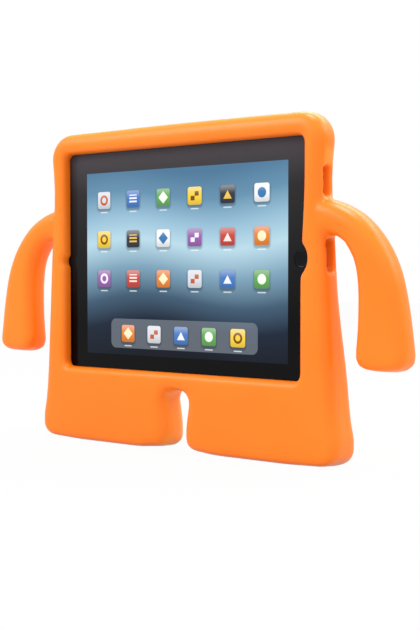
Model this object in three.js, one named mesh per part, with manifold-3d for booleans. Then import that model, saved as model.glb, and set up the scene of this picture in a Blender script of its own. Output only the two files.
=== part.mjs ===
// Foam tablet case for children: a standing figure with two legs to stand on and two arms as
// carrying handles, and a tablet seated in its pocket behind the front lip.
// Millimetres, +Z up, front towards -Y, +X to the right of someone who looks at the screen.
// The origin is on the floor, under the middle of the case.

import * as THREE from 'three';
import { mergeVertices } from 'three/addons/utils/BufferGeometryUtils.js';
import Module from 'manifold-3d';

// Clearances, how far a cutter runs past the face that it leaves, how deep two joined blocks reach
// into each other, and the least flat between two round ends
const seatGap = 0.3;
const buttonGap = 0.35;
const overrun = 1;
const joinDepth = 0.1;
const leastFlat = 0.01;

// Tablet, lying on its long edge
const tabletWidth = 241.2;
const tabletHeight = 185.7;
const tabletThickness = 9.4;
const tabletCorner = 10;
const shellRim = 0.8;
const shellLedge = 2;
const shellBack = 1.1;
const shellBackRounding = 3.4;
const glassThickness = 1.1;
const sideBorder = 19.6;
const endBorder = 14.85;
const displayThickness = 2.6;
const displayCorner = 1.5;
const innerStrip = 28.8;
const batteryInset = 33.85;
const batteryCount = 3;
const batterySpacing = 2;
const batteryCorner = 3;
const boardWidth = 20;
const boardInset = 25.85;
const boardEdgeGap = 2.5;
const boardThickness = 1.2;
const chipCount = 3;
const chipMargin = 2;
const chipSpacing = 11;
const chipHeight = 1.8;
const smallCorner = 1;

// Controls and sockets of the tablet
const homeButtonDiameter = 11.6;
const homeButtonSink = 0.05;
const homeButtonThickness = 2.1;
const homeButtonTravel = 0.3;
const homeSwitchRim = 0.7;
const homeSwitchThickness = 1.2;
const edgeButtonWidth = 2.6;
const edgeButtonProud = 0.6;
const edgeButtonDepth = 4.7;
const buttonFlangeRim = 0.7;
const buttonFlangeThickness = 0.8;
const powerButtonLength = 10;
const powerButtonInset = 28;
const rockerLength = 19;
const rockerInset = 58;
const rockerTiltGap = 0.5;
const muteSwitchLength = 3.4;
const muteSwitchTravel = 1.5;
const muteSwitchInset = 42;
const cameraInset = 15;
const rearCameraDiameter = 8.4;
const frontCameraSize = 9;
const chargingSocketLength = 27;
const chargingSocketDepth = 8;
const chargingSlotLength = 21;
const chargingSlotWidth = 2.4;
const headphoneInset = 20;
const headphoneBore = 3.5;
const headphoneBarrel = 6;
const headphoneLength = 13;
const socketEndWall = 1.5;
const speakerLength = 34;
const speakerDepth = 15;
const speakerInset = 39;
const grilleSlots = 4;
const grilleSlotLength = 5;
const grilleSlotWidth = 1.3;
const grilleSlotSpacing = 2;

// Foam around the tablet
const tabletLift = 50.9;
const topWall = 9.4;
const sideWall = 11;
const backWall = 4.1;
const lipDepth = 10;
const lipOverlapSide = 4.4;
const lipOverlapTop = 7;
const windowCorner = 5;
const lipRounding = 5;

// Outline of the case, as added half width over the shoulders at each height
const shoulderCorner = 20;
const shoulderFlare = 1.2;
const neckPinch = 0.9;
const neckHeight = 196;
const topCrown = 0.5;
const waistFlare = 2.4;
const hipFlare = 7;
const hipHeight = 57.9;
const ankleFlare = 10.4;
const ankleHeight = 25.9;
const heelFlare = 12.2;
const footCorner = 14;

// Depth and rounded edges of the case
const footDepth = 32;
const chestBottomHeight = 131;
const footBackHeight = 46;
const edgeRounding = 9;
const chestBackRounding = 10;
const footBackRounding = 10;
const soleRounding = 5;
const roundingSteps = 5;

// Slot between the legs
const legSlotTop = 45.8;
const legSlotWidth = 25.3;
const legSlotTopCorner = 8;
const legSlotWaist = 17.4;
const legSlotWaistHeight = 19;
const innerFootCorner = 8;
const legSlotFrontRounding = 8;
const legSlotBackRounding = 14;
const legSlotFrontRoofRounding = 4;
const legSlotBackRoofRounding = 10;

// Arms, each an open hook that leaves room for a hand beside the case
const armDepth = 24;
const armRounding = 10;
const handRounding = 7;
const armRootHeight = 25;
const armRootBottom = 160.2;
const armRootBury = 8;
const armRootDrop = 6;
const hipClearance = 0.5;
const armSpread = 63.7;
const handShare = 0.612;
const handBottom = 68.3;
const handCorner = 8.5;

// Edges of an arm, each point as its share of the way out from the shoulder to the reach, and of
// the way down from the root to the hand
const armInnerShares = [[0.094, 0.004], [0.255, 0.084], [0.354, 0.2], [0.398, 0.365], [0.403, 0.588]];
const armOuterShares = [[0.964, 0.892], [0.859, 0.555], [0.686, 0.315], [0.435, 0.131], [0.152, 0.028]];

// Openings through the foam
const notchDepth = 5;
const notchHalfHeight = 11;
const cameraNotchDepth = 2;
const cameraNotchHalfHeight = 4.5;
const portRounding = 2;
const portCorner = 3;
const speakerHoleHeight = 20.5;
const speakerHoleWidth = 9.4;
const speakerHoleForward = 3;
const chargingHoleHeight = 22.8;
const chargingHoleWidth = 10.4;
const chargingHoleForward = 3;
const chargingHoleRise = 2.5;
const edgeHoleWidth = 8.4;
const powerHoleLength = 18;
const headphoneHoleLength = 12;
const controlHoleLength = 44;
const cameraHoleDiameter = 22;
const cameraHoleRounding = 3;

// Places worked out from the sizes above
const frontY = -footDepth / 2;
const footBackY = footDepth / 2;
const glassY = frontY + lipDepth;
const tabletBackY = glassY + tabletThickness;
const chestBackY = tabletBackY + backWall;
const tabletBottom = tabletLift;
const tabletCentreZ = tabletLift + tabletHeight / 2;
const tabletTop = tabletLift + tabletHeight;
const caseTop = tabletTop + topWall;
const shoulderX = tabletWidth / 2 + sideWall;
const armReach = shoulderX + armSpread;
const cornerX = shoulderX + shoulderFlare;
const windowHalfWidth = tabletWidth / 2 - lipOverlapSide;
const windowHalfHeight = tabletHeight / 2 - lipOverlapTop;
const sideBottom = tabletCentreZ - windowHalfHeight + windowCorner;
const shoulderTop = tabletCentreZ + windowHalfHeight - windowCorner;
const footTop = legSlotTop - legSlotTopCorner;
const armStartX = shoulderX + heelFlare + hipClearance;
const shoulderBottom = armRootBottom - armRootDrop;
const displayY = glassY + glassThickness + seatGap;
const batteryY = displayY + displayThickness + seatGap;
const shellInnerBackY = tabletBackY - shellBack;
const innerBackY = shellInnerBackY - seatGap;
const hollowHalfWidth = tabletWidth / 2 - shellRim - shellLedge;
const hollowHalfHeight = tabletHeight / 2 - shellRim - shellLedge;
const displayWidth = tabletWidth - 2 * sideBorder;
const displayHeight = tabletHeight - 2 * endBorder;
const batterySpan = 2 * (hollowHalfWidth - innerStrip);
const batteryWidth = (batterySpan - (batteryCount - 1) * batterySpacing) / batteryCount;
const batteryHeight = tabletHeight - 2 * batteryInset;
const boardHeight = tabletHeight - 2 * boardInset;
const borderMiddle = (shellRim + shellLedge + sideBorder) / 2;
const homeButtonX = tabletWidth / 2 - borderMiddle;
const homeSwitchSize = homeButtonDiameter + 2 * homeSwitchRim;
const edgeButtonY = glassY + edgeButtonDepth;
const rockerX = -tabletWidth / 2 + rockerInset;
const muteSwitchX = -tabletWidth / 2 + muteSwitchInset;
const powerButtonZ = tabletTop - powerButtonInset;
const headphoneZ = tabletBottom + headphoneInset;
const speakerZ = tabletTop - speakerInset;

// Colours
const foamOrange = 0xff8a32;
const shellGrey = 0xb9bcc0;
const glassBlack = 0x17181b;
const displayBlue = 0x5c8cb5;
const batteryBlack = 0x2a2c30;
const boardGreen = 0x1f4b3a;
const plasticBlack = 0x202226;
const metalGrey = 0x8f9398;

const wasm = await Module();
wasm.setup();

// Closed geometry to a solid that can be joined and cut
function toSolid(geometry) {
  const bare = geometry.clone();
  bare.deleteAttribute('normal');
  bare.deleteAttribute('uv');
  const merged = mergeVertices(bare, 1e-4);
  return new wasm.Manifold(new wasm.Mesh({
    numProp: 3,
    vertProperties: new Float32Array(merged.attributes.position.array),
    triVerts: new Uint32Array(merged.index.array),
  }));
}

// Solid back to a geometry
function toGeometry(solid) {
  const mesh = solid.getMesh();
  const geometry = new THREE.BufferGeometry();
  geometry.setAttribute('position', new THREE.BufferAttribute(mesh.vertProperties, 3));
  geometry.setIndex(new THREE.BufferAttribute(mesh.triVerts, 1));
  geometry.computeVertexNormals();
  return geometry;
}

function join(geometries) {
  const solids = geometries.map(toSolid);
  return toGeometry(solids.reduce((whole, solid) => whole.add(solid)));
}

function cut(geometry, cutters) {
  const solids = cutters.map(toSolid);
  return toGeometry(solids.reduce((rest, solid) => rest.subtract(solid), toSolid(geometry)));
}

// Value that is either one number or one number for each point
function valueAt(value, index) {
  return Array.isArray(value) ? value[index] : value;
}

// Outline, anticlockwise, moved inwards by a distance that may differ from point to point
function insetOutline(outline, distance) {
  const count = outline.length;
  return outline.map((point, index) => {
    const before = outline[(index + count - 1) % count];
    const after = outline[(index + 1) % count];
    const normalBefore = new THREE.Vector2(before.y - point.y, point.x - before.x).normalize();
    const normalAfter = new THREE.Vector2(point.y - after.y, after.x - point.x).normalize();
    const bisector = normalBefore.clone().add(normalAfter).normalize();
    const mitre = Math.max(bisector.dot(normalBefore), 0.5);
    return point.clone().addScaledVector(bisector, valueAt(distance, index) / mitre);
  });
}

// Where a loft's outline lies: upright behind the front face, or across the side or the top
const alongY = (u, v, level) => [u, level, v];
const alongX = (u, v, level) => [level, u, v];
const alongZ = (u, v, level) => [u, v, level];

// Directions in which the case is parted into pieces
const rightward = [1, 0, 0];
const backward = [0, 1, 0];
const upward = [0, 0, 1];

// Triangles of a flat end
function earCap(ring) {
  return THREE.ShapeUtils.triangulateShape(ring, []);
}

// Triangles of an end whose outline is the same on the left and the right: level strips
function ladderCap(ring) {
  const last = ring.length - 1;
  const triangles = [];
  for (let index = 0; index < ring.length / 2 - 1; index++) {
    triangles.push([index, index + 1, last - index - 1]);
    triangles.push([index, last - index - 1, last - index]);
  }
  return triangles;
}

// Closed solid through a row of stations, each the outline inset by a distance at a level
function loft(outline, stations, place, cap = earCap) {
  const count = outline.length;
  const rings = stations.map(({ inset }) => insetOutline(outline, inset));
  const positions = [];
  const triangles = [];
  rings.forEach((ring, station) => {
    ring.forEach((point, index) => {
      positions.push(...place(point.x, point.y, valueAt(stations[station].level, index)));
    });
  });
  for (let station = 0; station < rings.length - 1; station++) {
    for (let index = 0; index < count; index++) {
      const here = station * count + index;
      const next = station * count + (index + 1) % count;
      triangles.push([here, next + count, next], [here, here + count, next + count]);
    }
  }
  const lastRing = (rings.length - 1) * count;
  for (const [a, b, c] of cap(outline)) {
    triangles.push([a, b, c], [lastRing + a, lastRing + c, lastRing + b]);
  }
  if (signedVolume(positions, triangles) < 0) {
    triangles.forEach((triangle) => triangle.reverse());
  }
  const geometry = new THREE.BufferGeometry();
  geometry.setAttribute('position', new THREE.Float32BufferAttribute(positions, 3));
  geometry.setIndex(triangles.flat());
  return geometry;
}

function signedVolume(positions, triangles) {
  const corner = (index) => new THREE.Vector3().fromArray(positions, index * 3);
  let volume = 0;
  for (const [a, b, c] of triangles) {
    volume += corner(a).dot(corner(b).cross(corner(c))) / 6;
  }
  return volume;
}

// Rounded rectangle, anticlockwise from its lower right corner
function roundedRectangle(centreU, centreV, width, height, corner, steps = 6) {
  const points = [];
  const turns = [[1, -1, -90], [1, 1, 0], [-1, 1, 90], [-1, -1, 180]];
  for (const [signU, signV, startDegrees] of turns) {
    const middleU = centreU + signU * (width / 2 - corner);
    const middleV = centreV + signV * (height / 2 - corner);
    for (let step = 0; step <= steps; step++) {
      const angle = THREE.MathUtils.degToRad(startDegrees + 90 * step / steps);
      points.push(new THREE.Vector2(
        middleU + corner * Math.cos(angle),
        middleV + corner * Math.sin(angle),
      ));
    }
  }
  return points;
}

function circle(centreU, centreV, diameter, segments = 32) {
  const points = [];
  for (let index = 0; index < segments; index++) {
    const angle = 2 * Math.PI * index / segments;
    points.push(new THREE.Vector2(
      centreU + diameter / 2 * Math.cos(angle),
      centreV + diameter / 2 * Math.sin(angle),
    ));
  }
  return points;
}

// Straight block between two levels
function block(outline, from, to, place) {
  return loft(outline, [{ inset: 0, level: from }, { inset: 0, level: to }], place);
}

// Cutter whose mouth widens by a quarter round where it leaves the foam
function flaredCutter(outline, inner, face, rounding, place) {
  const outward = Math.sign(face - inner);
  const radii = outline.map((point, index) => valueAt(rounding, index));
  const stations = [{ inset: 0, level: inner }];
  for (let step = 0; step <= roundingSteps; step++) {
    const angle = Math.PI / 2 * step / roundingSteps;
    stations.push({
      inset: radii.map((radius) => -radius * (1 - Math.cos(angle))),
      level: radii.map((radius) => face - outward * radius * (1 - Math.sin(angle))),
    });
  }
  stations.push({ inset: radii.map((radius) => -radius), level: face + outward * footDepth / 2 });
  return loft(outline, stations, place);
}

// Half width of the case at a height, along its side between the shoulder and the heel
const sideCurve = new THREE.SplineCurve([
  new THREE.Vector2(shoulderX + heelFlare, footCorner + soleRounding),
  new THREE.Vector2(shoulderX + ankleFlare, ankleHeight),
  new THREE.Vector2(shoulderX + hipFlare, hipHeight),
  new THREE.Vector2(shoulderX + waistFlare, tabletCentreZ),
  new THREE.Vector2(shoulderX - neckPinch, neckHeight),
  new THREE.Vector2(cornerX, caseTop - shoulderCorner),
]);

function sideX(height) {
  const samples = sideCurve.getPoints(80);
  return samples.reduce((best, point) => {
    return Math.abs(point.y - height) < Math.abs(best.y - height) ? point : best;
  }).x;
}

// Right half of the case outline, from the sole up to the crown of the top edge
function rightChain() {
  const points = [];
  const soleX = shoulderX + heelFlare - footCorner;
  for (let step = 0; step < 5; step++) {
    const angle = Math.PI / 2 * step / 5;
    points.push(new THREE.Vector2(
      soleX + footCorner * Math.sin(angle),
      footCorner * (1 - Math.cos(angle)),
    ));
  }
  points.push(...sideCurve.getSpacedPoints(16));
  for (let step = 1; step <= 8; step++) {
    const angle = Math.PI / 2 * step / 8;
    points.push(new THREE.Vector2(
      cornerX - shoulderCorner * (1 - Math.cos(angle)),
      caseTop - shoulderCorner * (1 - Math.sin(angle)),
    ));
  }
  const crownHalf = cornerX - shoulderCorner;
  for (const share of [0.66, 0.33, 0.05]) {
    points.push(new THREE.Vector2(crownHalf * share, caseTop + topCrown * (1 - share * share)));
  }
  return points;
}

// Share of the way from the chest, 0, to the thicker feet, 1
function footShare(height) {
  return 1 - THREE.MathUtils.smoothstep(height, footBackHeight, chestBottomHeight);
}

// Rounded slab of the case without its arms and openings
function caseSlab() {
  const right = rightChain();
  const left = right.map((point) => new THREE.Vector2(-point.x, point.y)).reverse();
  const outline = [...right, ...left];
  const rounding = outline.map((point) => {
    const share = Math.min(point.y, footCorner) / footCorner;
    return THREE.MathUtils.lerp(soleRounding, edgeRounding, share);
  });
  const backY = outline.map((point) => {
    return THREE.MathUtils.lerp(chestBackY, footBackY, footShare(point.y));
  });
  const backRounding = outline.map((point, index) => {
    const full = THREE.MathUtils.lerp(chestBackRounding, footBackRounding, footShare(point.y));
    return full * rounding[index] / edgeRounding;
  });
  return loft(outline, slabStations(rounding, backY, backRounding), alongY, ladderCap);
}

// Stations of a slab with rounded front and back edges: how far each point is rounded in the
// outline, where the back face lies, and how deep its rounding goes
function slabStations(radii, backY, backDepths) {
  const stations = [];
  for (let step = 0; step <= roundingSteps; step++) {
    const angle = Math.PI / 2 * step / roundingSteps;
    stations.push({
      inset: radii.map((radius) => radius * (1 - Math.sin(angle))),
      level: radii.map((radius) => frontY + radius * (1 - Math.cos(angle))),
    });
  }
  for (let step = 0; step <= roundingSteps; step++) {
    const angle = Math.PI / 2 * step / roundingSteps;
    stations.push({
      inset: radii.map((radius) => radius * (1 - Math.cos(angle))),
      level: backDepths.map((depth, index) => backY[index] - depth * (1 - Math.sin(angle))),
    });
  }
  return stations;
}

// Right arm: out from the shoulder, over and down to a flat hand
function armOutline() {
  const drop = armRootBottom - handBottom;
  const rootTop = armRootBottom + armRootHeight;
  const handWidth = handShare * armSpread;
  const handInner = armReach - handWidth;
  const insideBody = shoulderX - armRootBury;
  const points = [
    [insideBody, armRootBottom],
    ...armInnerShares.map(([out, down]) => [shoulderX + out * armSpread, armRootBottom - down * drop]),
    [handInner, handBottom + 1.55 * handCorner],
    [handInner + 0.23 * handCorner, handBottom + handCorner / 2],
    [handInner + handCorner, handBottom + 0.06 * handCorner],
    [armReach - handWidth / 2, handBottom],
    [armReach - handCorner, handBottom + 0.07 * handCorner],
    [armReach - 0.23 * handCorner, handBottom + handCorner / 2],
    [armReach, handBottom + 1.36 * handCorner],
    ...armOuterShares.map(([out, down]) => [shoulderX + out * armSpread, rootTop - down * drop]),
    [shoulderX - armRootBury / 4, rootTop],
    [insideBody, rootTop],
  ];
  const curve = new THREE.SplineCurve(points.map(([x, z]) => new THREE.Vector2(x, z)));
  return curve.getSpacedPoints(48);
}

function arm(side) {
  const outline = armOutline();
  const radii = outline.map((point) => {
    const share = THREE.MathUtils.smoothstep(point.y, handBottom, handBottom + 3 * handCorner);
    return THREE.MathUtils.lerp(handRounding, armRounding, share);
  });
  const backY = outline.map(() => frontY + armDepth);
  const place = (u, v, level) => alongY(side * u, v, level);
  return loft(outline, slabStations(radii, backY, radii), place);
}

// Slot that parts the two feet, wider at its top than at its waist
function legSlotOutline() {
  const half = legSlotWidth / 2;
  const roofHalf = half - legSlotTopCorner;
  const right = [];
  for (let step = 0; step <= 5; step++) {
    const angle = Math.PI / 2 * step / 5;
    right.push(new THREE.Vector2(
      legSlotWaist / 2 + innerFootCorner * (1 - Math.sin(angle)),
      innerFootCorner * (1 - Math.cos(angle)),
    ));
  }
  right.push(new THREE.Vector2(legSlotWaist / 2, legSlotWaistHeight));
  for (let step = 0; step <= 5; step++) {
    const angle = Math.PI / 2 * step / 5;
    right.push(new THREE.Vector2(
      roofHalf + legSlotTopCorner * Math.cos(angle),
      legSlotTop - legSlotTopCorner * (1 - Math.sin(angle)),
    ));
  }
  const below = new THREE.Vector2(right[0].x, -footCorner);
  const whole = [below, ...right];
  const left = whole.map((point) => new THREE.Vector2(-point.x, point.y)).reverse();
  return [...whole, ...left];
}

function legSlot() {
  const outline = legSlotOutline();
  const roofShare = outline.map((point) => {
    return THREE.MathUtils.smoothstep(point.y, legSlotTop - 2 * legSlotTopCorner, legSlotTop);
  });
  const roundings = (wall, roof) => roofShare.map((share) => THREE.MathUtils.lerp(wall, roof, share));
  const front = roundings(legSlotFrontRounding, legSlotFrontRoofRounding);
  const back = roundings(legSlotBackRounding, legSlotBackRoofRounding);
  return [
    flaredCutter(outline, 0, frontY, front, alongY),
    flaredCutter(outline, 0, footBackY, back, alongY),
  ];
}

// Pocket for the tablet, and the window in front of its screen with two notches
function pocketAndWindow() {
  const tabletOutline = roundedRectangle(0, tabletCentreZ, tabletWidth, tabletHeight, tabletCorner);
  const pocketOutline = insetOutline(tabletOutline, -seatGap);
  const pocket = block(pocketOutline, glassY - seatGap, tabletBackY + seatGap, alongY);
  const outlines = [
    roundedRectangle(0, tabletCentreZ, 2 * windowHalfWidth, 2 * windowHalfHeight, windowCorner),
    notchOutline(1, notchDepth, notchHalfHeight),
    notchOutline(-1, cameraNotchDepth, cameraNotchHalfHeight),
  ];
  const windows = outlines.map((outline) => flaredCutter(outline, glassY, frontY, lipRounding, alongY));
  return [pocket, ...windows];
}

function notchOutline(side, depth, halfHeight) {
  const radius = (halfHeight * halfHeight + depth * depth) / (2 * depth);
  return circle(side * (windowHalfWidth + depth - radius), tabletCentreZ, 2 * radius);
}

// Holes through the side, top and back walls for sound, plugs, buttons and the camera
function ports() {
  const pocketX = tabletWidth / 2;
  const sideHole = (side, centreY, centreZ, width, height) => flaredCutter(
    roundedRectangle(centreY, centreZ, width, height, portCorner),
    side * pocketX,
    side * sideX(centreZ),
    portRounding,
    alongX,
  );
  const speakerHole = sideHole(
    1, glassY + speakerHoleWidth / 2 - speakerHoleForward, speakerZ, speakerHoleWidth, speakerHoleHeight,
  );
  const chargingHole = sideHole(
    1, glassY + chargingHoleWidth / 2 - chargingHoleForward, tabletCentreZ + chargingHoleRise,
    chargingHoleWidth, chargingHoleHeight,
  );
  const powerHole = sideHole(-1, edgeButtonY, powerButtonZ, edgeHoleWidth, powerHoleLength);
  const headphoneHole = sideHole(-1, edgeButtonY, headphoneZ, edgeHoleWidth, headphoneHoleLength);
  const controlHole = flaredCutter(
    roundedRectangle((rockerX + muteSwitchX) / 2, edgeButtonY, controlHoleLength, edgeHoleWidth, portCorner),
    tabletTop,
    caseTop,
    portRounding,
    alongZ,
  );
  const cameraHole = flaredCutter(
    circle(-tabletWidth / 2 + cameraInset, tabletTop - cameraInset, cameraHoleDiameter),
    tabletBackY,
    chestBackY,
    cameraHoleRounding,
    alongY,
  );
  return [speakerHole, chargingHole, powerHole, headphoneHole, controlHole, cameraHole];
}

// Part of a solid that lies further than a level along a direction. The level is rounded as the
// solid's own points are, so that a flat face at that level stays whole.
function beyond(solid, direction, level) {
  return solid.trimByPlane(direction, Math.fround(level));
}

// Part of a solid that lies short of that level
function before(solid, direction, level) {
  return beyond(solid, direction.map((value) => -value), -level);
}

// Whole case, moulded in one piece, as the simple pieces that it is made of. They meet face to face.
function casePieces() {
  const rounded = join([caseSlab(), arm(1), arm(-1)]);
  const whole = toSolid(cut(rounded, [...legSlot(), ...pocketAndWindow(), ...ports()]));
  const body = beyond(before(whole, rightward, armStartX), rightward, -armStartX);
  const chest = beyond(body, upward, sideBottom);
  const ring = before(chest, backward, tabletBackY);
  const rails = before(ring, upward, shoulderTop);
  const shoulders = beyond(rails, upward, shoulderBottom);
  const sides = before(rails, upward, shoulderBottom);
  const belly = before(body, upward, sideBottom);
  const feet = before(belly, upward, footTop);
  return {
    case_back: beyond(chest, backward, tabletBackY),
    case_top: beyond(ring, upward, shoulderTop),
    case_left_shoulder: before(shoulders, rightward, 0),
    case_right_shoulder: beyond(shoulders, rightward, 0),
    case_left_side: before(sides, rightward, 0),
    case_right_side: beyond(sides, rightward, 0),
    case_waist: beyond(belly, upward, footTop),
    case_left_foot: before(feet, rightward, 0),
    case_right_foot: beyond(feet, rightward, 0),
    case_left_arm: before(whole, rightward, -armStartX),
    case_right_arm: beyond(whole, rightward, armStartX),
  };
}

// Slot shape of the buttons on the tablet's edge
function buttonOutline(centreAlong, length, width, across) {
  return across
    ? roundedRectangle(edgeButtonY, centreAlong, width, length, width / 2 - leastFlat, 4)
    : roundedRectangle(centreAlong, edgeButtonY, length, width, width / 2 - leastFlat, 4);
}

// Metal tray that holds the tablet's inner pieces, open towards the glass
function rearShell() {
  const outline = roundedRectangle(0, tabletCentreZ, tabletWidth, tabletHeight, tabletCorner, 8);
  const stations = [{ inset: 0, level: glassY }];
  for (let step = 0; step <= 4; step++) {
    const angle = Math.PI / 2 * step / 4;
    stations.push({
      inset: shellBackRounding * (1 - Math.cos(angle)),
      level: tabletBackY - shellBackRounding * (1 - Math.sin(angle)),
    });
  }
  const glassSeatOutline = insetOutline(outline, shellRim);
  const hollowOutline = insetOutline(outline, shellRim + shellLedge);
  const wallIn = hollowHalfWidth - overrun;
  const wallOut = tabletWidth / 2 + overrun;
  const topIn = tabletCentreZ + hollowHalfHeight - overrun;
  const topOut = tabletTop + overrun;
  const slotWidth = edgeButtonWidth + 2 * buttonGap;
  const powerSlot = buttonOutline(powerButtonZ, powerButtonLength + 2 * buttonGap, slotWidth, true);
  const rockerSlot = buttonOutline(rockerX, rockerLength + 2 * buttonGap, slotWidth, false);
  const chargingSlot = insetOutline(chargingSlotOutline(), -seatGap);
  const headphoneSlot = circle(edgeButtonY, headphoneZ, headphoneBore + 2 * seatGap, 20);
  const cameraWell = insetOutline(rearCameraOutline(), -seatGap);
  const cutters = [
    block(glassSeatOutline, glassY - overrun, glassY + glassThickness + seatGap, alongY),
    block(hollowOutline, glassY, shellInnerBackY, alongY),
    block(powerSlot, -wallOut, -wallIn, alongX),
    block(rockerSlot, topIn, topOut, alongZ),
    block(muteSlotOutline(slotWidth), topIn, topOut, alongZ),
    block(headphoneSlot, -wallOut, -wallIn, alongX),
    block(chargingSlot, wallIn, wallOut, alongX),
    block(cameraWell, shellInnerBackY - overrun, tabletBackY + overrun, alongY),
    ...grille(wallIn, wallOut),
  ];
  return cut(loft(outline, stations, alongY), cutters);
}

function chargingSlotOutline() {
  return buttonOutline(tabletCentreZ, chargingSlotLength, chargingSlotWidth, true);
}

function rearCameraOutline() {
  return circle(-tabletWidth / 2 + cameraInset, tabletTop - cameraInset, rearCameraDiameter);
}

function muteSlotOutline(slotWidth) {
  const length = muteSwitchLength + muteSwitchTravel + 2 * buttonGap;
  return buttonOutline(muteSwitchX + muteSwitchTravel / 2, length, slotWidth, false);
}

function grille(from, to) {
  const pitch = grilleSlotLength + grilleSlotSpacing;
  const slots = [];
  for (let index = 0; index < grilleSlots; index++) {
    const centre = speakerZ + (index - (grilleSlots - 1) / 2) * pitch;
    slots.push(block(buttonOutline(centre, grilleSlotLength, grilleSlotWidth, true), from, to, alongX));
  }
  return slots;
}

function coverGlass() {
  const outline = roundedRectangle(0, tabletCentreZ, tabletWidth, tabletHeight, tabletCorner, 8);
  const sheet = block(insetOutline(outline, shellRim + seatGap), glassY, glassY + glassThickness, alongY);
  const hole = circle(homeButtonX, tabletCentreZ, homeButtonDiameter + 2 * buttonGap);
  return cut(sheet, [block(hole, glassY - overrun, displayY, alongY)]);
}

function displayPanel() {
  const outline = roundedRectangle(0, tabletCentreZ, displayWidth, displayHeight, displayCorner, 2);
  return block(outline, displayY, displayY + displayThickness, alongY);
}

function batteryCell(index) {
  const centreX = (index - (batteryCount - 1) / 2) * (batteryWidth + batterySpacing);
  const outline = roundedRectangle(centreX, tabletCentreZ, batteryWidth, batteryHeight, batteryCorner, 3);
  return block(outline, batteryY, innerBackY, alongY);
}

// Circuit board with its shielded chips, in the strip beside the batteries
function logicBoard() {
  const centreX = -hollowHalfWidth + boardEdgeGap + boardWidth / 2;
  const boardFrontY = innerBackY - boardThickness;
  const sheet = block(
    roundedRectangle(centreX, tabletCentreZ, boardWidth, boardHeight, smallCorner, 3),
    boardFrontY,
    innerBackY,
    alongY,
  );
  const pitch = boardHeight / chipCount;
  const chips = [];
  for (let index = 0; index < chipCount; index++) {
    const centreZ = tabletCentreZ + (index - (chipCount - 1) / 2) * pitch;
    const width = boardWidth - 2 * chipMargin;
    const outline = roundedRectangle(centreX, centreZ, width, pitch - chipSpacing, smallCorner, 2);
    chips.push(block(outline, boardFrontY - chipHeight, boardFrontY + boardThickness / 2, alongY));
  }
  return join([sheet, ...chips]);
}

function homeButton() {
  return block(
    circle(homeButtonX, tabletCentreZ, homeButtonDiameter),
    glassY + homeButtonSink,
    glassY + homeButtonThickness,
    alongY,
  );
}

function homeSwitch() {
  const front = glassY + homeButtonThickness + homeButtonTravel + seatGap;
  const size = homeSwitchSize;
  const outline = roundedRectangle(homeButtonX, tabletCentreZ, size, size, smallCorner, 2);
  return block(outline, front, front + homeSwitchThickness, alongY);
}

// Button in the tablet's edge, with the flange inside that keeps it from falling out
function edgeButton(centreAlong, length, gapInside, across, side) {
  const place = across ? alongX : alongZ;
  const base = across ? 0 : tabletCentreZ;
  const outer = across ? tabletWidth / 2 : tabletHeight / 2;
  const inner = (across ? hollowHalfWidth : hollowHalfHeight) - gapInside;
  const cap = buttonOutline(centreAlong, length, edgeButtonWidth, across);
  const flange = buttonOutline(
    centreAlong, length + 2 * buttonFlangeRim, edgeButtonWidth + 2 * buttonFlangeRim, across,
  );
  return join([
    block(cap, base + side * (inner - joinDepth), base + side * (outer + edgeButtonProud), place),
    block(flange, base + side * (inner - buttonFlangeThickness), base + side * inner, place),
  ]);
}

function frontCamera() {
  const size = frontCameraSize;
  const outline = roundedRectangle(-homeButtonX, tabletCentreZ, size, size, smallCorner, 2);
  const back = innerBackY - boardThickness - chipHeight - seatGap;
  return block(outline, displayY, back, alongY);
}

function rearCamera() {
  return block(rearCameraOutline(), batteryY, tabletBackY, alongY);
}

// Outline of a block that fills the room behind the display, seen from the tablet's edge
function edgeBlockOutline(centreZ, length) {
  const depth = innerBackY - batteryY;
  return roundedRectangle(batteryY + depth / 2, centreZ, depth, length, smallCorner, 2);
}

// Socket block behind the slot in the tablet's edge
function chargingSocket() {
  const outer = hollowHalfWidth - seatGap;
  const inner = outer - chargingSocketDepth;
  const body = block(edgeBlockOutline(tabletCentreZ, chargingSocketLength), inner, outer, alongX);
  const slot = block(chargingSlotOutline(), inner + socketEndWall, outer + overrun, alongX);
  return cut(body, [slot]);
}

function headphoneSocket() {
  const outer = -hollowHalfWidth + seatGap;
  const inner = outer + headphoneLength;
  const barrel = block(circle(edgeButtonY, headphoneZ, headphoneBarrel, 20), outer, inner, alongX);
  const boreOutline = circle(edgeButtonY, headphoneZ, headphoneBore, 20);
  const bore = block(boreOutline, outer - overrun, inner - socketEndWall, alongX);
  return cut(barrel, [bore]);
}

function speaker() {
  const outer = hollowHalfWidth - seatGap;
  const outline = edgeBlockOutline(speakerZ, speakerLength);
  return block(outline, outer - speakerDepth, outer, alongX);
}

const tabletCase = new THREE.Group();

function addPiece(name, geometry, color, roughness, metalness) {
  const material = new THREE.MeshStandardMaterial({ color, roughness, metalness });
  const mesh = new THREE.Mesh(geometry, material);
  mesh.name = name;
  tabletCase.add(mesh);
}

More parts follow.
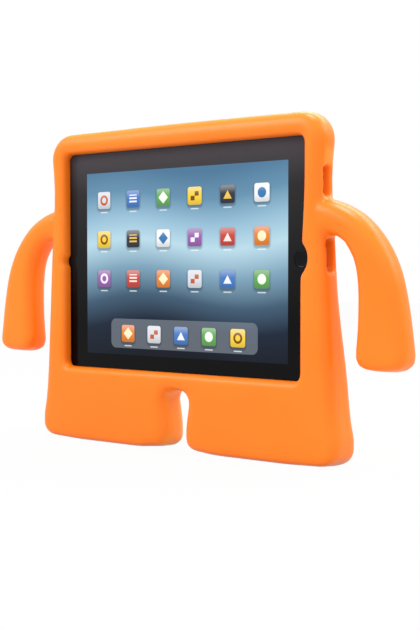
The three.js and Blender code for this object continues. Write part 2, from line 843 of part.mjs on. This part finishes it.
for (const [name, solid] of Object.entries(casePieces())) {
  addPiece(name, toGeometry(solid), foamOrange, 0.6, 0);
}
addPiece('tablet_rear_shell', rearShell(), shellGrey, 0.35, 0.9);
addPiece('tablet_cover_glass', coverGlass(), glassBlack, 0.08, 0);
addPiece('tablet_display_panel', displayPanel(), displayBlue, 0.3, 0);
['left', 'middle', 'right'].forEach((place, index) => {
  addPiece(`tablet_battery_cell_${place}`, batteryCell(index), batteryBlack, 0.6, 0);
});
addPiece('tablet_logic_board', logicBoard(), boardGreen, 0.5, 0.1);
addPiece('tablet_home_button', homeButton(), glassBlack, 0.3, 0);
addPiece('tablet_home_switch', homeSwitch(), boardGreen, 0.5, 0.1);
const powerButton = edgeButton(powerButtonZ, powerButtonLength, seatGap, true, -1);
const volumeRocker = edgeButton(rockerX, rockerLength, rockerTiltGap, false, 1);
const muteSwitch = edgeButton(muteSwitchX, muteSwitchLength, seatGap, false, 1);
addPiece('tablet_power_button', powerButton, plasticBlack, 0.4, 0);
addPiece('tablet_volume_rocker', volumeRocker, plasticBlack, 0.4, 0);
addPiece('tablet_mute_switch', muteSwitch, plasticBlack, 0.4, 0);
addPiece('tablet_front_camera', frontCamera(), plasticBlack, 0.3, 0);
addPiece('tablet_rear_camera', rearCamera(), plasticBlack, 0.2, 0);
addPiece('tablet_charging_socket', chargingSocket(), metalGrey, 0.4, 0.7);
addPiece('tablet_headphone_socket', headphoneSocket(), metalGrey, 0.4, 0.7);
addPiece('tablet_speaker', speaker(), plasticBlack, 0.6, 0);

export default tabletCase;
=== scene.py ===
# Looks of the foam tablet case for children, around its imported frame.
# Metres, +Z up, front towards -Y.

import math

import bpy
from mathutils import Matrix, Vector


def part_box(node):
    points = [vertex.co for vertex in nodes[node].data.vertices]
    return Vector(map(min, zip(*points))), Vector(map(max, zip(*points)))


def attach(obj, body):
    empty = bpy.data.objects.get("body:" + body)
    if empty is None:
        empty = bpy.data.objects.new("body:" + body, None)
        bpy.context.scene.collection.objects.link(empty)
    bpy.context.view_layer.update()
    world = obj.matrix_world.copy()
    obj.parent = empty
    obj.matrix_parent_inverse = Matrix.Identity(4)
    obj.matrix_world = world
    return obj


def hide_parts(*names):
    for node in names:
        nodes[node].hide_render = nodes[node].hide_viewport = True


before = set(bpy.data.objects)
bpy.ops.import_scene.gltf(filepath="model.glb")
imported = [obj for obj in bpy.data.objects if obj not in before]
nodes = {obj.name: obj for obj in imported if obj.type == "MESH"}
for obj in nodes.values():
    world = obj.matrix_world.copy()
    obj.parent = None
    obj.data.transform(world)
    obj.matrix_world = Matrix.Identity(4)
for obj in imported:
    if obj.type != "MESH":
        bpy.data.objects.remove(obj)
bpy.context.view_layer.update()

MM = 0.001
CASE = "case_with_tablet"
CASE_PIECES = (
    "case_back",
    "case_top",
    "case_left_shoulder",
    "case_right_shoulder",
    "case_left_side",
    "case_right_side",
    "case_waist",
    "case_left_foot",
    "case_right_foot",
    "case_left_arm",
    "case_right_arm",
)

# Tablet in its pocket
GLASS_Y = -6 * MM
GLASS_FACE_DEPTH = 0.1 * MM
TABLET_CENTRE_Z = 143.75 * MM
WINDOW_HALF_WIDTH = 116.2 * MM
WINDOW_HALF_HEIGHT = 85.85 * MM

# Lit picture behind the glass, with u to the right and v up from its centre
SCREEN_HALF_WIDTH = 98.3 * MM
SCREEN_HALF_HEIGHT = 71.8 * MM
SCREEN_CENTRE_Z = 141.85 * MM
SCREEN_CORNER = 0.3 * MM
BORDER_HALF_HEIGHT = 84 * MM
CRISP_EDGE = 0.12 * MM
FIELD_U = -2 * MM
FIELD_V = 19 * MM
FIELD_COLUMNS = 6
FIELD_ROWS = 3
FIELD_PITCH = 31 * MM
BAR_V = -55 * MM
BAR_HALF_WIDTH = 72 * MM
BAR_HALF_HEIGHT = 11.5 * MM
BAR_CORNER = 5 * MM
BAR_COLUMNS = 5
BAR_PITCH = 27 * MM

# Tiles and the plain shapes on them
TILE_HALF = 6.7 * MM
TILE_CORNER = 1.9 * MM
TILE_SHADE_DROP = 1.2 * MM
TILE_SHADE_REACH = (2.2 * MM, -0.5 * MM)
DASH_DROP = 9.6 * MM
DASH_HALF_WIDTH = 3.8 * MM
DASH_HALF_HEIGHT = 0.45 * MM
MOTIF_COUNT = 6
MOTIF_HALF_WIDTH = 3.9 * MM
MOTIF_HALF_HEIGHT = 3.4 * MM
MOTIF_CORNER = 0.3 * MM
MOTIF_FADE = 0.3 * MM
STRIPE_PITCH = 2.6 * MM
RING_RADIUS = 3.2 * MM
RING_HALF_WIDTH = 1 * MM
RING_FADE = 0.2 * MM
DIAMOND_REACH = 4.9 * MM
HILL_TOP = 2.8 * MM
HILL_SLOPE = 1.6
TILE_COLOURS = (
    (236, 238, 240),
    (244, 205, 60),
    (70, 120, 190),
    (226, 130, 48),
    (150, 96, 168),
    (52, 56, 64),
    (96, 164, 84),
    (214, 218, 224),
    (196, 72, 62),
)
MOTIF_COLOURS = (
    (60, 120, 176),
    (120, 78, 24),
    (240, 244, 248),
    (255, 236, 196),
    (248, 240, 250),
    (238, 196, 84),
    (242, 248, 236),
    (196, 92, 50),
    (250, 232, 224),
)

# Sky of the picture, and the black border of the glass with a painted reflection that is lighter
# towards the top, each from the bottom up
SKY = (
    (0.0, (16, 21, 32)),
    (0.17, (26, 37, 54)),
    (0.3, (62, 88, 110)),
    (0.45, (120, 156, 178)),
    (0.6, (178, 210, 224)),
    (0.72, (146, 184, 206)),
    (0.86, (98, 140, 168)),
    (1.0, (76, 116, 148)),
)
BORDER_AND_PAINTED_REFLECTION = (
    (0.0, (4, 4, 5)),
    (0.25, (4, 4, 5)),
    (0.53, (22, 22, 24)),
    (0.83, (41, 40, 42)),
    (1.0, (68, 65, 70)),
)

# Foam: its grid, and how often its points are smoothed
FOAM_GRID = 1.4 * MM
FOAM_SMOOTHING = 9
SLOT_SMOOTHING = 90
LIP_REACH = 6 * MM
LIP_SOFTNESS = 0.1

# Soft shifts of the foam. A pair says where a shift starts and where it is full.
SOLE_CURL = 1.2 * MM
SOLE_CURL_UP = (14 * MM, 0)
SOLE_CURL_INNER = (46 * MM, 12 * MM)
SOLE_CURL_OUTER = (95 * MM, 138 * MM)
SOLE_CURL_FRONT = (4 * MM, -12 * MM)
SLOT_SOFT_ACROSS = (34 * MM, 24 * MM)
SLOT_SOFT_FRONT = (4 * MM, -4 * MM)
SLOT_SOFT_UP = (58 * MM, 48 * MM)
SLOT_SOFT_RIGHT = 0.4
LIP_DRAW = -3.2 * MM
LIP_RAISE = 0.8 * MM
LIP_FRONT = (-4 * MM, -6 * MM)
LIP_LOW = (205 * MM, 120 * MM)
LIP_RIGHT_OUTER = (133 * MM, 119 * MM)
LIP_RIGHT_INNER = (100 * MM, 106 * MM)
LIP_FOOT = (44 * MM, 60 * MM)
LIP_BELOW_LOW = (44 * MM, 54 * MM)
LIP_BELOW_HIGH = (80 * MM, 66 * MM)

# Painted light: lighter orange on the walls of the slot and of the side holes, with the same
# pairs
SLOT_WALL_ACROSS = (24 * MM, 14 * MM)
SLOT_WALL_UP = (56 * MM, 44 * MM)
SLOT_WALL_DEEP = (-15 * MM, -8 * MM)
HOLE_OUTER = (135 * MM, 131 * MM)
HOLE_INNER = (119 * MM, 121 * MM)
HOLE_MIDDLE_Y = -4 * MM
HOLE_DEEP = (7 * MM, 4.5 * MM)
HOLE_MIDDLE_Z = 140 * MM
HOLE_UP = (84 * MM, 77 * MM)

# Round pieces: steps of a face, each with its inset and its move, in millimetres
ROUND_SEGMENTS = 64
BUTTON_STEPS = [(0.12, 0.04), (0.25, 0.0), (0.2, -0.1)] + [(0.85, -0.07)] * 5
LENS_STEPS = [(0.15, 0.0), (0.7, 0.0), (0.1, -0.35), (0.5, -0.1), (0.05, -0.25)]
LENS_STEPS += [(0.45, 0.08)] * 5
LENS_RIM = (3.1 * MM, 3.3 * MM)
LENS_PUPIL = (1.5 * MM, 1.1 * MM)
CONTROL_EDGE = 0.2 * MM

# Camera at the photograph's angle
CAMERA_PLACE = (0.5709, -0.6867, 0.13445)
CAMERA_DOWNWARD = 0.0359
CAMERA_TURN = 0.6731
CAMERA_LENS = 67.21
CAMERA_SENSOR = 36

# Lamps: name, place, width and height, watts
LAMP_AIM = (0, 0, 0.12)
LAMPS = (
    ("top_softbox", (0.05, 0.0, 1.35), (0.4, 0.4), 9),
    ("back_softbox", (-0.05, 0.75, 1.1), (1.2, 0.5), 8),
    ("right_softbox", (0.9, 0.5, 0.95), (0.8, 0.8), 7),
    ("left_softbox", (-0.7, -1.0, 0.95), (0.8, 0.7), 10.5),
    ("camera_softbox", (0.75, -1.0, 0.8), (1.9, 1.1), 3.9),
)
WHITE = (1, 1, 1, 1)
ROOM_LIGHT = 0.78
FLOOR_SIZE = 8
FLOOR_COLOUR = (0.5, 0.5, 0.5, 1)
FLOOR_ROUGHNESS = 0.9
FLOOR_WHITE_SHARE = 0.96


# Materials


class Value:
    """A socket in a material. Sums on it are written as on plain numbers."""

    def __init__(self, finish, socket):
        self.finish = finish
        self.socket = socket

    def math(self, operation, *others, swap=False):
        terms = [self, *others]
        if swap:
            terms.reverse()
        settings = {"operation": operation}
        return self.finish.node("ShaderNodeMath", settings, dict(enumerate(terms)))

    def __add__(self, other):
        return self.math("ADD", other)

    __radd__ = __add__

    def __mul__(self, other):
        return self.math("MULTIPLY", other)

    __rmul__ = __mul__

    def __sub__(self, other):
        return self.math("SUBTRACT", other)

    def __rsub__(self, other):
        return self.math("SUBTRACT", other, swap=True)

    def __truediv__(self, other):
        return self.math("DIVIDE", other)

    def __abs__(self):
        return self.math("ABSOLUTE")

    def __gt__(self, other):
        return self.math("GREATER_THAN", other)

    def __lt__(self, other):
        return self.math("LESS_THAN", other)

    def floor(self):
        return self.math("FLOOR")

    def clip(self):
        """No lower than 0."""
        return self.math("MAXIMUM", 0.0)


class Finish:
    """A material with one principled shader, and the nodes that drive it."""

    def __init__(self, name, **constants):
        self.material = bpy.data.materials.new(name)
        self.material.use_nodes = True
        self.tree = self.material.node_tree
        self.shader = self.tree.nodes["Principled BSDF"]
        for socket, value in constants.items():
            self.shader.inputs[socket.replace("_", " ")].default_value = value
        self.place = self.node("ShaderNodeTexCoord", output="Object")
        parts = self.node("ShaderNodeSeparateXYZ", {}, {0: self.place}).socket.node
        self.x, self.y, self.z = (Value(self, out) for out in parts.outputs)

    def node(self, kind, settings=None, inputs=None, output=0):
        made = self.tree.nodes.new(kind)
        for name, setting in (settings or {}).items():
            if name == "stops":
                self.set_stops(made.color_ramp, *setting)
            else:
                setattr(made, name, setting)
        for name, given in (inputs or {}).items():
            if isinstance(given, Value):
                self.tree.links.new(given.socket, made.inputs[name])
            else:
                made.inputs[name].default_value = given
        return Value(self, made.outputs[output])

    @staticmethod
    def set_stops(ramp, interpolation, stops):
        ramp.interpolation = interpolation
        while len(ramp.elements) < len(stops):
            ramp.elements.new(1)
        for element, (position, colour) in zip(ramp.elements, stops):
            element.position = position
            element.color = linear(colour)

    def drive(self, **sockets):
        for socket, value in sockets.items():
            self.tree.links.new(value.socket, self.shader.inputs[socket.replace("_", " ")])

    def ramp(self, value, stops, interpolation="LINEAR"):
        return self.node("ShaderNodeValToRGB", {"stops": (interpolation, stops)}, {0: value})

    def palette(self, share, colours):
        """One of the colours, by a share of the way along them."""
        steps = [(index / len(colours), colour) for index, colour in enumerate(colours)]
        return self.ramp(share, steps, "CONSTANT")

    def mix(self, share, first, second):
        colours = [
            given if isinstance(given, Value) else linear(given) for given in (first, second)
        ]
        inputs = {0: share, 6: colours[0], 7: colours[1]}
        return self.node("ShaderNodeMix", {"data_type": "RGBA"}, inputs, output=2)

    def noise(self, scale, detail=3.0):
        inputs = {"Vector": self.place, "Scale": scale, "Detail": detail}
        return self.node("ShaderNodeTexNoise", {}, inputs)

    def span(self, value, start, full):
        """0 where the value is at start, 1 where it is at full, and smooth between."""
        inputs = {0: value, 1: start, 2: full, 3: 0.0, 4: 1.0}
        return self.node("ShaderNodeMapRange", {"interpolation_type": "SMOOTHSTEP"}, inputs)

    def bump(self, height, strength, distance):
        inputs = {"Height": height, "Strength": strength, "Distance": distance}
        return self.node("ShaderNodeBump", {}, inputs)

    def cover(self, *objects):
        for piece in objects:
            piece.data.materials.clear()
            piece.data.materials.append(self.material)


def linear(colour):
    """An sRGB colour, 0 to 255, as the linear colour that a node takes."""
    shares = [channel / 255 for channel in colour]
    values = [
        share / 12.92 if share <= 0.04045 else ((share + 0.055) / 1.055) ** 2.4
        for share in shares
    ]
    return (*values, 1.0)


def foam_finish():
    """Satin orange, a little uneven, with painted light on the walls of the slot and the side
    holes, where the orange is lighter.
    """
    finish = Finish("orange_foam", Specular_IOR_Level=0.36, IOR=1.45)
    clouds = finish.noise(9)
    grain = finish.noise(420, 2)
    pores = finish.noise(1500, 2)
    skin = finish.mix(finish.span(clouds, 0.3, 0.7), (254, 122, 14), (255, 128, 24))

    # Painted light: the orange is lighter on the shaded walls of the slot and of the side holes,
    # as if more light reached them.
    slot = finish.span(abs(finish.x), *SLOT_WALL_ACROSS) * finish.span(finish.z, *SLOT_WALL_UP)
    slot_wall_painted_light = slot * finish.span(finish.y, *SLOT_WALL_DEEP)
    across = abs(finish.x)
    hole_wall_painted_light = finish.span(across, *HOLE_OUTER) * finish.span(across, *HOLE_INNER)
    hole_wall_painted_light = hole_wall_painted_light * finish.span(abs(finish.y - HOLE_MIDDLE_Y), *HOLE_DEEP)
    hole_wall_painted_light = hole_wall_painted_light * finish.span(abs(finish.z - HOLE_MIDDLE_Z), *HOLE_UP)

    skin = finish.mix(0.7 * hole_wall_painted_light, skin, (255, 146, 44))
    finish.drive(
        Base_Color=finish.mix(0.8 * slot_wall_painted_light, skin, (255, 164, 62)),
        Roughness=0.30 + 0.06 * clouds + 0.05 * grain,
        Normal=finish.bump(grain + 0.6 * pores, 0.06, 0.2 * MM),
    )
    return finish


def plain_finish(name, colour, roughness, metallic=0.0, grain=600, specular=0.5):
    """One colour with a fine speckle."""
    finish = Finish(name, Metallic=metallic, Specular_IOR_Level=specular)
    speckle = finish.noise(grain, 2)
    finish.drive(
        Base_Color=finish.mix(speckle, [channel * 0.92 for channel in colour], colour),
        Roughness=(roughness - 0.04) + 0.08 * speckle,
        Normal=finish.bump(speckle, 0.08, 0.05 * MM),
    )
    return finish


def rounded_distance(u, v, half_width, half_height, corner):
    """How far out from a rounded rectangle round the origin of u and v, below 0 inside it."""
    over_u = (abs(u) - (half_width - corner)).clip()
    over_v = (abs(v) - (half_height - corner)).clip()
    return (over_u * over_u + over_v * over_v).math("SQRT") - corner


def rounded_mask(finish, u, v, half_width, half_height, corner):
    """1 inside a rounded rectangle round the origin of u and v, 0 outside."""
    distance = rounded_distance(u, v, half_width, half_height, corner)
    return finish.span(distance, CRISP_EDGE, -CRISP_EDGE)


def motif(finish, u, v, number):
    """The shape on a tile, by its number: disc, ring, bars, diamond, blocks or hill."""
    radius = (u * u + v * v).math("SQRT")
    box = rounded_mask(finish, u, v, MOTIF_HALF_WIDTH, MOTIF_HALF_HEIGHT, MOTIF_CORNER)
    stripes = (v / STRIPE_PITCH).math("FRACT") < 0.5
    blocks = (u * v) > 0
    from_ring = abs(radius - RING_RADIUS)
    shapes = (
        finish.span(radius, MOTIF_HALF_WIDTH, MOTIF_HALF_WIDTH - MOTIF_FADE),
        finish.span(from_ring, RING_HALF_WIDTH, RING_HALF_WIDTH - RING_FADE),
        box * stripes,
        finish.span(abs(u) + abs(v), DIAMOND_REACH, DIAMOND_REACH - MOTIF_FADE),
        box * blocks,
        box * (v < HILL_TOP - HILL_SLOPE * abs(u)),
    )
    kind = number.math("MODULO", MOTIF_COUNT)
    total = 0.0
    for index, shape in enumerate(shapes):
        total = (abs(kind - index) < 0.5) * shape + total
    return total


def tiles(finish, ground, u, v, columns, rows, pitch, first):
    """The ground with rows and columns of rounded tiles on it, round the origin of u and v."""
    column = (u / pitch + columns / 2).floor()
    row = (v / pitch + rows / 2).floor()
    inside = (abs(u) < columns * pitch / 2) * (abs(v) < rows * pitch / 2)
    tile_u = u - (column + (0.5 - columns / 2)) * pitch
    tile_v = v - (row + (0.5 - rows / 2)) * pitch
    number = row * columns + column + first
    choice = ((number * 4).math("MODULO", len(TILE_COLOURS)) + 0.5) / len(TILE_COLOURS)

    tile = (TILE_HALF, TILE_HALF, TILE_CORNER)
    distance = rounded_distance(tile_u, tile_v, *tile)
    shade_distance = rounded_distance(tile_u, tile_v + TILE_SHADE_DROP, *tile)
    shade = finish.span(shade_distance, *TILE_SHADE_REACH)
    dash_v = tile_v + DASH_DROP
    dash = rounded_mask(
        finish, tile_u, dash_v, DASH_HALF_WIDTH, DASH_HALF_HEIGHT, DASH_HALF_HEIGHT
    )

    shape = motif(finish, tile_u, tile_v, number)
    face = finish.palette(choice, TILE_COLOURS)
    drawn = finish.mix(shape, face, finish.palette(choice, MOTIF_COLOURS))
    drawn = finish.mix(0.22 * finish.span(tile_v, 0.0, TILE_HALF), drawn, (255, 255, 255))
    drawn = finish.mix(0.25 * finish.span(tile_v, 0.0, -TILE_HALF), drawn, (20, 24, 40))
    ground = finish.mix(0.45 * inside * shade, ground, (10, 20, 36))
    ground = finish.mix(0.6 * inside * dash, ground, (240, 246, 250))
    return finish.mix(inside * finish.span(distance, CRISP_EDGE, -CRISP_EDGE), ground, drawn)


def glass_finish():
    """Black glass with a lit picture: a soft sky, a field of tiles and a bar of tiles, and a
    painted reflection on its border, lighter towards the top.
    """
    finish = Finish(
        "screen_glass", Roughness=0.07, Specular_IOR_Level=0.1, Emission_Strength=1.14
    )
    u = finish.x
    v = finish.z - SCREEN_CENTRE_Z
    lit = rounded_mask(finish, u, v, SCREEN_HALF_WIDTH, SCREEN_HALF_HEIGHT, SCREEN_CORNER)
    front = finish.y < GLASS_Y + GLASS_FACE_DEPTH
    wave = (u * 34 + v * 12).math("SINE") * 0.035
    height = v / (2 * SCREEN_HALF_HEIGHT) + 0.5 + wave
    picture = finish.ramp(height, SKY)
    field_u = u - FIELD_U
    field_v = v - FIELD_V
    field = (FIELD_COLUMNS, FIELD_ROWS, FIELD_PITCH)
    picture = tiles(finish, picture, field_u, field_v, *field, first=1)
    bar_v = v - BAR_V
    bar = rounded_mask(finish, u, bar_v, BAR_HALF_WIDTH, BAR_HALF_HEIGHT, BAR_CORNER)
    picture = finish.mix(0.34 * bar, picture, (150, 160, 172))
    picture = tiles(finish, picture, u, bar_v, BAR_COLUMNS, 1, BAR_PITCH, first=21)
    # Painted reflection: the black border of the glass grows lighter towards the top.
    border_and_painted_reflection = finish.ramp(v / (2 * BORDER_HALF_HEIGHT) + 0.5, BORDER_AND_PAINTED_REFLECTION)
    finish.drive(
        Base_Color=finish.mix(lit, border_and_painted_reflection, (4, 4, 5)),
        Emission_Color=finish.mix(lit * front, (0, 0, 0), picture),
    )
    return finish


def lens_finish(centre):
    """Dark rings and a tinted glass in the middle, round an axis along Y."""
    finish = Finish("camera_lens", IOR=1.6)
    u = finish.x - centre.x
    v = finish.z - centre.z
    radius = (u * u + v * v).math("SQRT")
    rim = finish.span(radius, *LENS_RIM)
    well = finish.mix(finish.span(radius, *LENS_PUPIL), (22, 22, 28), (30, 24, 66))
    finish.drive(
        Base_Color=finish.mix(rim, well, (92, 94, 98)),
        Roughness=0.06 + 0.3 * rim,
        Metallic=0.8 * rim,
    )
    return finish


# Shaping


def select_only(piece):
    bpy.ops.object.select_all(action="DESELECT")
    piece.select_set(True)
    bpy.context.view_layer.objects.active = piece


def apply(piece, kind, **settings):
    select_only(piece)
    modifier = piece.modifiers.new(kind.lower(), kind)
    for name, value in settings.items():
        setattr(modifier, name, value)
    bpy.ops.object.modifier_apply(modifier=modifier.name)


def merged_copy(names, name):
    """One new piece from copies of the frame's nodes."""
    copies = []
    for node in names:
        copies.append(bpy.data.objects.new(name, nodes[node].data.copy()))
        bpy.context.scene.collection.objects.link(copies[-1])
    piece = copies[0]
    select_only(piece)
    for other in copies:
        other.select_set(True)
    bpy.ops.object.join()
    piece.name = piece.data.name = name
    bpy.ops.object.mode_set(mode="EDIT")
    bpy.ops.mesh.select_all(action="SELECT")
    bpy.ops.mesh.remove_doubles(threshold=1e-6)
    bpy.ops.object.mode_set(mode="OBJECT")
    return piece


def smooth_share(value, start, full):
    """0 where the value is at start, 1 where it is at full, and smooth between."""
    share = min(1.0, max(0.0, (value - start) / (full - start)))
    return share * share * (3 - 2 * share)


def softness(place):
    """How freely a point of the foam may be smoothed: little at the thin lip, fully elsewhere."""
    across = abs(place.x) - WINDOW_HALF_WIDTH
    up = abs(place.z - TABLET_CENTRE_Z) - WINDOW_HALF_HEIGHT
    if max(across, up) > 0:
        away = math.hypot(max(across, 0), max(up, 0))
    else:
        away = -max(across, up)
    reach = math.hypot(away, place.y - GLASS_Y)
    return min(1, max(LIP_SOFTNESS, reach / LIP_REACH))


def slot_softness(place):
    """More smoothing on the front edges of the slot between the legs, most on its left one."""
    side = 1 if place.x < 0 else SLOT_SOFT_RIGHT
    across = smooth_share(abs(place.x), *SLOT_SOFT_ACROSS)
    front = smooth_share(place.y, *SLOT_SOFT_FRONT)
    return side * across * front * smooth_share(place.z, *SLOT_SOFT_UP)


def sole_curl(place):
    """How far the front of the sole curls up towards both ends of a foot."""
    along = abs(place.x)
    inner = SOLE_CURL * smooth_share(along, *SOLE_CURL_INNER)
    outer = SOLE_CURL * smooth_share(along, *SOLE_CURL_OUTER)
    outer *= smooth_share(place.y, *SOLE_CURL_FRONT)
    return (inner + outer) * smooth_share(place.z, *SOLE_CURL_UP)


def lip_shift(place):
    """How far the lip lies in over the glass: more towards the lower right, a little below."""
    front = smooth_share(place.y, *LIP_FRONT)
    right = smooth_share(place.x, *LIP_RIGHT_OUTER) * smooth_share(place.x, *LIP_RIGHT_INNER)
    low = smooth_share(place.z, *LIP_LOW) * smooth_share(place.z, *LIP_FOOT)
    below = smooth_share(place.z, *LIP_BELOW_LOW) * smooth_share(place.z, *LIP_BELOW_HIGH)
    return Vector((LIP_DRAW * low * right * front, 0, LIP_RAISE * below * front))


def foam_case():
    """The moulded foam: the frame's solids on a fine grid, with facets and edges softened."""
    piece = merged_copy(CASE_PIECES, "foam_case")
    apply(piece, "REMESH", mode="VOXEL", voxel_size=FOAM_GRID)
    group = piece.vertex_groups.new(name="softness")
    slot_group = piece.vertex_groups.new(name="slot_softness")
    for vertex in piece.data.vertices:
        group.add([vertex.index], softness(vertex.co), "REPLACE")
        slot_group.add([vertex.index], slot_softness(vertex.co), "REPLACE")
        vertex.co += lip_shift(vertex.co)
        vertex.co.z += sole_curl(vertex.co)
    for name, times in (("softness", FOAM_SMOOTHING), ("slot_softness", SLOT_SMOOTHING)):
        apply(piece, "SMOOTH", factor=0.5, iterations=times, vertex_group=name)
    piece.vertex_groups.clear()
    select_only(piece)
    bpy.ops.object.shade_smooth()
    return piece


def disc_with_steps(name, centre, radius, back, front, steps):
    """A round piece along Y, with one face stepped: each step insets it and then moves it."""
    bpy.ops.object.select_all(action="DESELECT")
    bpy.ops.mesh.primitive_cylinder_add(
        vertices=ROUND_SEGMENTS,
        radius=radius,
        depth=abs(front - back),
        location=(centre.x, (front + back) / 2, centre.z),
        rotation=(math.pi / 2, 0, 0),
    )
    piece = bpy.context.object
    piece.name = piece.data.name = name
    bpy.ops.object.transform_apply(location=True, rotation=True, scale=True)
    toward = math.copysign(1, front - back)
    bpy.ops.object.mode_set(mode="EDIT")
    bpy.ops.mesh.select_all(action="DESELECT")
    bpy.ops.object.mode_set(mode="OBJECT")
    for face in piece.data.polygons:
        face.select = face.normal.y * toward > 0.9
    bpy.ops.object.mode_set(mode="EDIT")
    bpy.ops.mesh.select_mode(type="FACE")
    for inset, move in steps:
        bpy.ops.mesh.inset(thickness=inset * MM)
        bpy.ops.transform.translate(value=(0, toward * move * MM, 0))
    bpy.ops.object.mode_set(mode="OBJECT")
    bpy.ops.object.shade_smooth_by_angle(angle=math.radians(35))
    return piece


def middle(node):
    low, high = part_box(node)
    return (low + high) / 2


def home_button():
    """A shallow dish with a thin raised rim."""
    node = "tablet_home_button"
    low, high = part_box(node)
    radius = (high.x - low.x) / 2
    return disc_with_steps(
        "home_button_cap", middle(node), radius, high.y, low.y, BUTTON_STEPS
    )


def rear_lens():
    """A ring with a stepped well and a domed glass at its bottom."""
    node = "tablet_rear_camera"
    low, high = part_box(node)
    radius = (high.x - low.x) / 2
    return disc_with_steps("rear_camera_lens", middle(node), radius, low.y, high.y, LENS_STEPS)


def soften_edges(node, width):
    """Small rounded edges on a node of the frame, which keeps its own mesh."""
    weld = nodes[node].modifiers.new("weld", "WELD")
    weld.merge_threshold = 1e-6
    bevel = nodes[node].modifiers.new("edges", "BEVEL")
    bevel.width = width
    bevel.segments = 3
    bevel.limit_method = "ANGLE"
    bevel.angle_limit = math.radians(40)


def stand_for(piece, replaced, body, finish):
    finish.cover(piece)
    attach(piece, body)
    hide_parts(*replaced)


# Studio


def add_lamp(name, place, size, power):
    lamp = bpy.data.lights.new(name, "AREA")
    lamp.shape = "RECTANGLE"
    lamp.size, lamp.size_y = size
    lamp.energy = power
    holder = bpy.data.objects.new(name, lamp)
    bpy.context.scene.collection.objects.link(holder)
    holder.location = place
    towards = Vector(place) - Vector(LAMP_AIM)
    holder.rotation_euler = towards.to_track_quat("Z", "Y").to_euler()


def add_camera():
    camera = bpy.data.objects.new("camera", bpy.data.cameras.new("camera"))
    bpy.context.scene.collection.objects.link(camera)
    camera.location = CAMERA_PLACE
    camera.rotation_euler = (math.pi / 2 - CAMERA_DOWNWARD, 0, CAMERA_TURN)
    camera.data.lens = CAMERA_LENS
    camera.data.sensor_width = CAMERA_SENSOR
    bpy.context.scene.camera = camera


def seen_directly(tree):
    """1 for camera, mirror and see-through rays, 0 for the rays that light the object."""
    path = tree.nodes.new("ShaderNodeLightPath")
    total = path.outputs["Is Camera Ray"]
    for name in ("Is Glossy Ray", "Is Transmission Ray"):
        either = tree.nodes.new("ShaderNodeMath")
        either.operation = "MAXIMUM"
        tree.links.new(total, either.inputs[0])
        tree.links.new(path.outputs[name], either.inputs[1])
        total = either.outputs[0]
    return total


def white_world():
    world = bpy.data.worlds.new("white_studio")
    world.use_nodes = True
    tree = world.node_tree
    background = tree.nodes["Background"]
    strength = tree.nodes.new("ShaderNodeMapRange")
    strength.inputs["To Min"].default_value = ROOM_LIGHT
    strength.inputs["To Max"].default_value = 1.0
    tree.links.new(seen_directly(tree), strength.inputs["Value"])
    tree.links.new(strength.outputs[0], background.inputs["Strength"])
    background.inputs["Color"].default_value = WHITE
    return world


def floor_material():
    """A pale floor that is mostly white where it is seen, and keeps the shadow on it."""
    material = bpy.data.materials.new("pale_floor")
    material.use_nodes = True
    tree = material.node_tree
    shader = tree.nodes["Principled BSDF"]
    shader.inputs["Base Color"].default_value = FLOOR_COLOUR
    shader.inputs["Roughness"].default_value = FLOOR_ROUGHNESS
    glow = tree.nodes.new("ShaderNodeEmission")
    share = tree.nodes.new("ShaderNodeMath")
    share.operation = "MULTIPLY"
    share.inputs[1].default_value = FLOOR_WHITE_SHARE
    mixer = tree.nodes.new("ShaderNodeMixShader")
    tree.links.new(seen_directly(tree), share.inputs[0])
    tree.links.new(share.outputs[0], mixer.inputs[0])
    tree.links.new(shader.outputs[0], mixer.inputs[1])
    tree.links.new(glow.outputs[0], mixer.inputs[2])
    tree.links.new(mixer.outputs[0], tree.nodes["Material Output"].inputs["Surface"])
    return material


def studio():
    add_camera()
    for lamp in LAMPS:
        add_lamp(*lamp)
    bpy.ops.object.select_all(action="DESELECT")
    bpy.ops.mesh.primitive_plane_add(size=FLOOR_SIZE)
    floor = bpy.context.object
    floor.name = "floor"
    floor.data.materials.append(floor_material())
    bpy.context.scene.world = white_world()
    bpy.context.scene.view_settings.view_transform = "Standard"


studio()

foam = foam_case()
stand_for(foam, CASE_PIECES, CASE, foam_finish())

home_black = plain_finish("home_button_black", (9, 9, 10), 0.2, specular=0.12)
stand_for(home_button(), ["tablet_home_button"], "home_button", home_black)
lens = lens_finish(middle("tablet_rear_camera"))
stand_for(rear_lens(), ["tablet_rear_camera"], CASE, lens)

glass_finish().cover(nodes["tablet_cover_glass"])
shell_metal = plain_finish("blasted_shell", (196, 199, 204), 0.34, 1.0, 2400)
shell_metal.cover(nodes["tablet_rear_shell"])
plain_finish("display_backing", (60, 66, 74), 0.4).cover(nodes["tablet_display_panel"])
for side in ("left", "middle", "right"):
    film = plain_finish(f"battery_film_{side}", (38, 40, 44), 0.5)
    film.cover(nodes[f"tablet_battery_cell_{side}"])
green_board = plain_finish("circuit_board", (24, 66, 50), 0.5)
green_board.cover(nodes["tablet_logic_board"], nodes["tablet_home_switch"])
inner_plastic = plain_finish("inner_plastic", (26, 27, 30), 0.5)
inner_plastic.cover(nodes["tablet_front_camera"], nodes["tablet_speaker"])
steel = plain_finish("socket_steel", (170, 172, 176), 0.35, 1.0, 1500)
steel.cover(nodes["tablet_charging_socket"], nodes["tablet_headphone_socket"])
black_plastic = plain_finish("satin_black", (24, 24, 27), 0.28)
for control in ("tablet_power_button", "tablet_volume_rocker", "tablet_mute_switch"):
    black_plastic.cover(nodes[control])
    soften_edges(control, CONTROL_EDGE)
